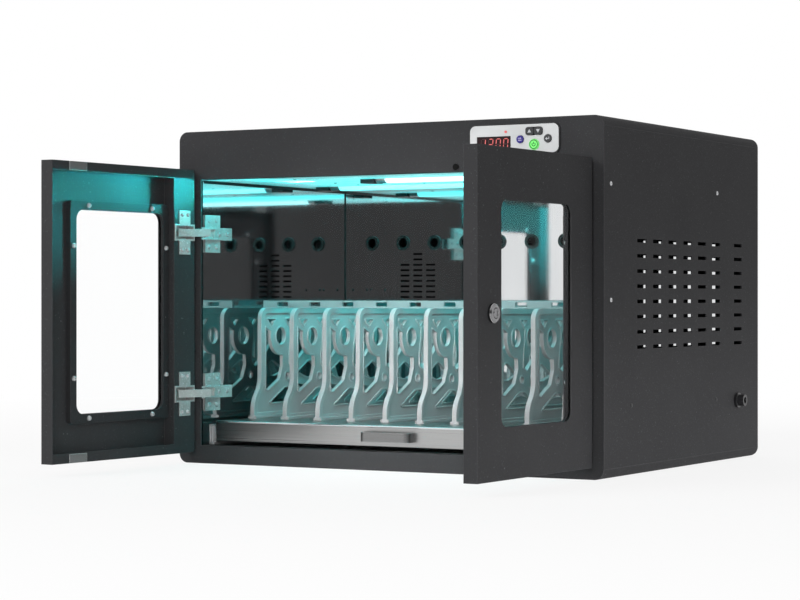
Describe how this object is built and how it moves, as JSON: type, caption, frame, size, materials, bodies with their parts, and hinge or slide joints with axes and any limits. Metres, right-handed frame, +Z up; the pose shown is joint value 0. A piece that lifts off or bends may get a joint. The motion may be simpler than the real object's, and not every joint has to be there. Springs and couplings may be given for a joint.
{
  "type": "uv charging station",
  "caption": "Countertop steel cabinet with glazed double doors, a slide-out tray of dividers, ultraviolet lamps and a key panel, for charging and cleaning handheld devices.",
  "frame": {"origin": "under the middle of the cabinet, on the surface that it stands on", "axes": "+X to the right as seen from the front, +Y to the back, +Z up; both doors stand open"},
  "size_m": [0.5065, 0.6333, 0.35],
  "materials": {
    "powder_coat": "fine textured powder coat, satin",
    "polished_steel": "mirror polished sheet",
    "brushed_steel": "brushed sheet",
    "reflector": "bright reflector sheet",
    "lamp_glass": "clear quartz tube",
    "lamp_cap": "drawn cap",
    "black_plastic": "moulded, fine matt",
    "rubber": "moulded rubber",
    "strip_housing": "moulded housing",
    "zinc_steel": "zinc plated",
    "nickel": "nickel plated",
    "divider_plastic": "moulded, pale grey",
    "tie_plastic": "moulded strip, pale grey",
    "window": "tinted clear sheet",
    "window_trim": "moulded, satin",
    "strike": "plain plated sheet",
    "lock_chrome": "bright chrome",
    "panel_face": "printed overlay, satin",
    "display": "dark gloss lens",
    "led_red": "clear coloured lens",
    "key_blue": "moulded key",
    "key_grey": "moulded key",
    "key_green": "moulded key",
    "key_dark": "moulded key",
    "circuit_board": "green laminate",
    "brass": "turned"
  },
  "bodies": {
    "cabinet": {"top_panel": "powder_coat", "base_panel": "powder_coat", "left_side_panel": "powder_coat", "right_side_panel": "powder_coat", "front_frame": "powder_coat", "rear_cover": "powder_coat", "door_bumper": "rubber", "cable_gland": "black_plastic", "gland_nut": "black_plastic", "floor_panel": "polished_steel", "left_liner": "polished_steel", "right_liner": "polished_steel", "ceiling_reflector": "reflector", "uv_tubes": "lamp_glass", "tube_caps": "lamp_cap", "lamp_holders": "black_plastic", "rear_partition": "polished_steel", "cable_grommets": "rubber", "outlet_strip": "strip_housing", "lamp_ballast": "zinc_steel", "slide_rails": "zinc_steel", "left_hinge_arms": "nickel", "right_hinge_arms": "nickel", "control_panel": "panel_face", "display_lens": "display", "status_led": "led_red", "control_board": "circuit_board", "board_standoffs": "brass"},
    "left_door": {"left_door_panel": "powder_coat", "left_hinge_cups": "nickel", "left_window_pane": "window", "left_window_frame": "window_trim", "left_window_screws": "zinc_steel", "left_strike_plates": "strike"},
    "right_door": {"right_door_panel": "powder_coat", "right_hinge_cups": "nickel", "right_window_pane": "window", "right_window_frame": "window_trim", "right_window_screws": "zinc_steel", "right_strike_plates": "strike", "lock_body": "lock_chrome"},
    "left_links": {"left_hinge_links": "nickel"},
    "right_links": {"right_hinge_links": "nickel"},
    "lock": {"lock_core": "lock_chrome", "lock_cam": "zinc_steel"},
    "tray": {"tray": "brushed_steel", "tray_runners": "zinc_steel", "tray_handle": "brushed_steel", "dividers": "divider_plastic", "tie_bar": "tie_plastic"},
    "blue_button": {"blue_button": "key_blue"},
    "grey_button": {"grey_button": "key_grey"},
    "power_button": {"power_button": "key_green"},
    "up_button": {"up_button": "key_dark"},
    "down_button": {"down_button": "key_dark"}
  },
  "joints": [
    {"name": "left_door_swing", "type": "hinge", "parent": "cabinet", "child": "left_door", "pos_m": [-0.2268, -0.2063, 0.1605], "axis": [0, 0, -1], "range_deg": [-92.8, 7.2]},
    {"name": "right_door_swing", "type": "hinge", "parent": "cabinet", "child": "right_door", "pos_m": [0.2268, -0.2063, 0.1605], "axis": [0, 0, 1], "range_deg": [-88.9, 11.1]},
    {"name": "left_link_turn", "type": "hinge", "parent": "cabinet", "child": "left_links", "pos_m": [-0.2353, -0.1952, 0.1605], "axis": [0, 0, -1], "range_deg": [-56.21, 4.45]},
    {"name": "right_link_turn", "type": "hinge", "parent": "cabinet", "child": "right_links", "pos_m": [0.2353, -0.1952, 0.1605], "axis": [0, 0, 1], "range_deg": [-53.85, 6.81]},
    {"name": "lock_turn", "type": "hinge", "parent": "right_door", "child": "lock", "pos_m": [0.23418, -0.40528, 0.161], "axis": [-0.9998, 0.0192, 0], "range_deg": [0, 90]},
    {"name": "tray_slide", "type": "slide", "parent": "cabinet", "child": "tray", "axis": [0, -1, 0], "range_m": [0, 0.22]},
    {"name": "blue_button_press", "type": "slide", "parent": "cabinet", "child": "blue_button", "axis": [0, 1, 0], "range_m": [0, 0.001], "stiffness_N_per_m": 400},
    {"name": "grey_button_press", "type": "slide", "parent": "cabinet", "child": "grey_button", "axis": [0, 1, 0], "range_m": [0, 0.001], "stiffness_N_per_m": 400},
    {"name": "power_button_press", "type": "slide", "parent": "cabinet", "child": "power_button", "axis": [0, 1, 0], "range_m": [0, 0.001], "stiffness_N_per_m": 400},
    {"name": "up_button_press", "type": "slide", "parent": "cabinet", "child": "up_button", "axis": [0, 1, 0], "range_m": [0, 0.001], "stiffness_N_per_m": 400},
    {"name": "down_button_press", "type": "slide", "parent": "cabinet", "child": "down_button", "axis": [0, 1, 0], "range_m": [0, 0.001], "stiffness_N_per_m": 400}
  ],
  "couplings": [
    {"joint": "left_link_turn", "follows": "left_door_swing", "ratio": 0.6046},
    {"joint": "right_link_turn", "follows": "right_door_swing", "ratio": 0.6046}
  ]
}
